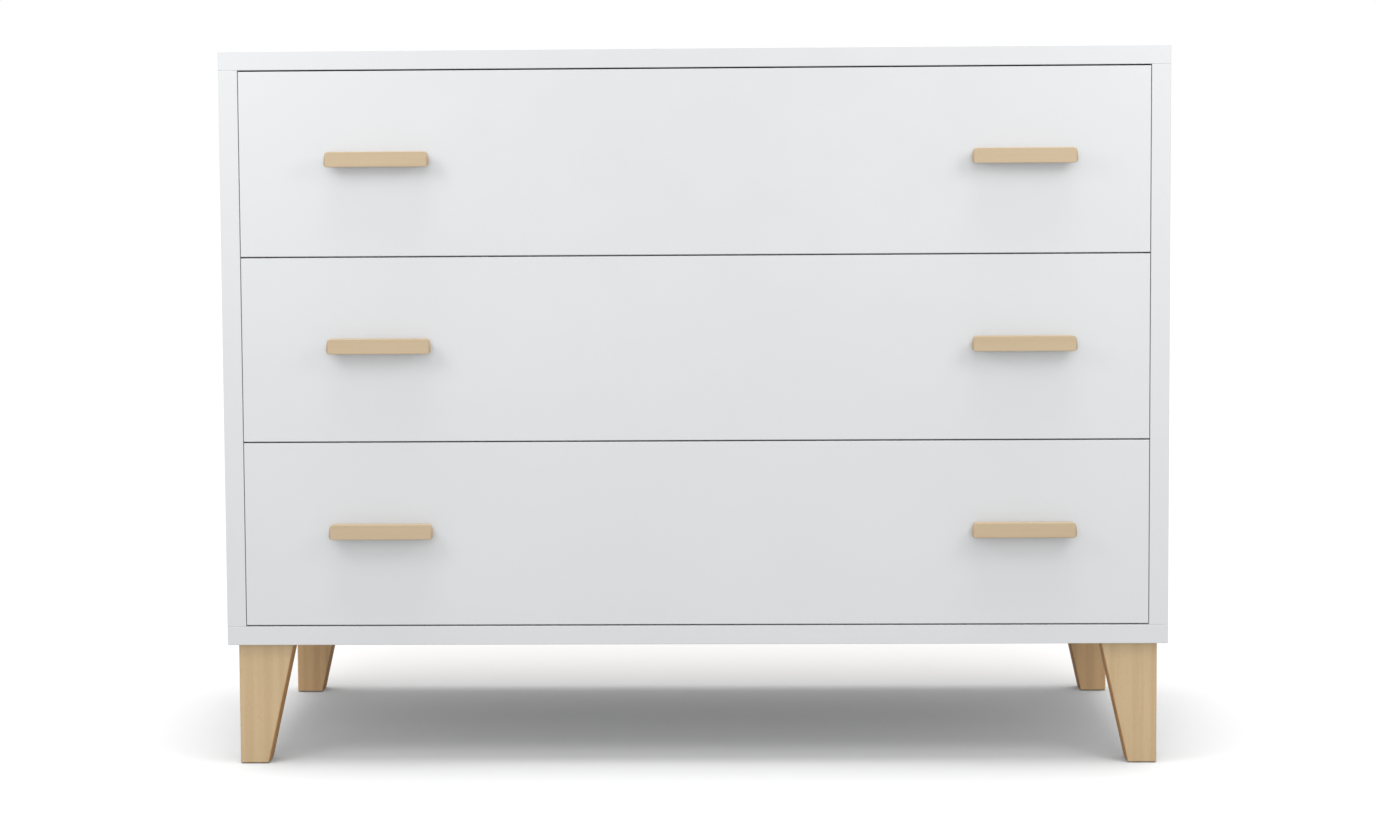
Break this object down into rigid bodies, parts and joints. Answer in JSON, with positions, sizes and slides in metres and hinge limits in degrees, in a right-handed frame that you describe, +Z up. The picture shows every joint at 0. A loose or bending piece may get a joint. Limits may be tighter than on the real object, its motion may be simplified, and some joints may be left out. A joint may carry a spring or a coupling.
{
  "type": "changing table",
  "caption": "Nursery dresser that serves as a changing table: white carcass with inset sliding drawers, beech bar handles and tapered beech legs.",
  "frame": {"origin": "on the floor, in the middle of the box that holds the whole dresser with its handles", "axes": "+X to the right of someone who faces the drawers, +Y to the back, +Z up"},
  "size_m": [1.15, 0.5246, 0.876],
  "materials": {
    "white_lacquer": "satin white lacquer on fibreboard",
    "beech": "clear matt oil on solid beech",
    "drawer_board": "clear-lacquered birch plywood",
    "drawer_bottom": "white-faced hardboard",
    "back_board": "white-faced hardboard",
    "zinc_steel": "bright zinc plate",
    "runner_steel": "zinc-plated rolled steel",
    "insert_brass": "turned brass",
    "glide_plastic": "moulded nylon",
    "dowel_wood": "fluted beech dowel"
  },
  "bodies": {
    "cabinet": {"top_panel": "white_lacquer", "bottom_panel": "white_lacquer", "left_side_panel": "white_lacquer", "right_side_panel": "white_lacquer", "back_panel": "back_board", "lower_rail": "white_lacquer", "upper_rail": "white_lacquer", "front_left_leg": "beech", "front_right_leg": "beech", "rear_left_leg": "beech", "rear_right_leg": "beech", "cabinet_runners": "runner_steel", "wall_brackets": "zinc_steel", "cam_locks": "zinc_steel", "cam_bolts": "zinc_steel", "dowels": "dowel_wood", "leg_bolts": "zinc_steel", "leg_inserts": "insert_brass", "leg_glides": "glide_plastic", "cabinet_screws": "zinc_steel"},
    "lower_drawer": {"lower_drawer_front": "white_lacquer", "lower_drawer_left_side": "drawer_board", "lower_drawer_right_side": "drawer_board", "lower_drawer_back": "drawer_board", "lower_drawer_bottom": "drawer_bottom", "lower_drawer_left_handle": "beech", "lower_drawer_right_handle": "beech", "lower_drawer_runners": "runner_steel", "lower_drawer_cam_fittings": "zinc_steel", "lower_drawer_corner_screws": "zinc_steel", "lower_drawer_panel_screws": "zinc_steel", "lower_drawer_handle_screws": "zinc_steel"},
    "lower_carriers": {"lower_drawer_carriers": "runner_steel"},
    "middle_drawer": {"middle_drawer_front": "white_lacquer", "middle_drawer_left_side": "drawer_board", "middle_drawer_right_side": "drawer_board", "middle_drawer_back": "drawer_board", "middle_drawer_bottom": "drawer_bottom", "middle_drawer_left_handle": "beech", "middle_drawer_right_handle": "beech", "middle_drawer_runners": "runner_steel", "middle_drawer_cam_fittings": "zinc_steel", "middle_drawer_corner_screws": "zinc_steel", "middle_drawer_panel_screws": "zinc_steel", "middle_drawer_handle_screws": "zinc_steel"},
    "middle_carriers": {"middle_drawer_carriers": "runner_steel"},
    "upper_drawer": {"upper_drawer_front": "white_lacquer", "upper_drawer_left_side": "drawer_board", "upper_drawer_right_side": "drawer_board", "upper_drawer_back": "drawer_board", "upper_drawer_bottom": "drawer_bottom", "upper_drawer_left_handle": "beech", "upper_drawer_right_handle": "beech", "upper_drawer_runners": "runner_steel", "upper_drawer_cam_fittings": "zinc_steel", "upper_drawer_corner_screws": "zinc_steel", "upper_drawer_panel_screws": "zinc_steel", "upper_drawer_handle_screws": "zinc_steel"},
    "upper_carriers": {"upper_drawer_carriers": "runner_steel"}
  },
  "joints": [
    {"name": "lower_drawer_slide", "type": "slide", "parent": "cabinet", "child": "lower_drawer", "axis": [0, -1, 0], "range_m": [0, 0.4]},
    {"name": "lower_carrier_slide", "type": "slide", "parent": "cabinet", "child": "lower_carriers", "axis": [0, -1, 0], "range_m": [0, 0.2]},
    {"name": "middle_drawer_slide", "type": "slide", "parent": "cabinet", "child": "middle_drawer", "axis": [0, -1, 0], "range_m": [0, 0.4]},
    {"name": "middle_carrier_slide", "type": "slide", "parent": "cabinet", "child": "middle_carriers", "axis": [0, -1, 0], "range_m": [0, 0.2]},
    {"name": "upper_drawer_slide", "type": "slide", "parent": "cabinet", "child": "upper_drawer", "axis": [0, -1, 0], "range_m": [0, 0.4]},
    {"name": "upper_carrier_slide", "type": "slide", "parent": "cabinet", "child": "upper_carriers", "axis": [0, -1, 0], "range_m": [0, 0.2]}
  ],
  "couplings": [
    {"joint": "lower_carrier_slide", "follows": "lower_drawer_slide", "ratio": 0.5},
    {"joint": "middle_carrier_slide", "follows": "middle_drawer_slide", "ratio": 0.5},
    {"joint": "upper_carrier_slide", "follows": "upper_drawer_slide", "ratio": 0.5}
  ]
}
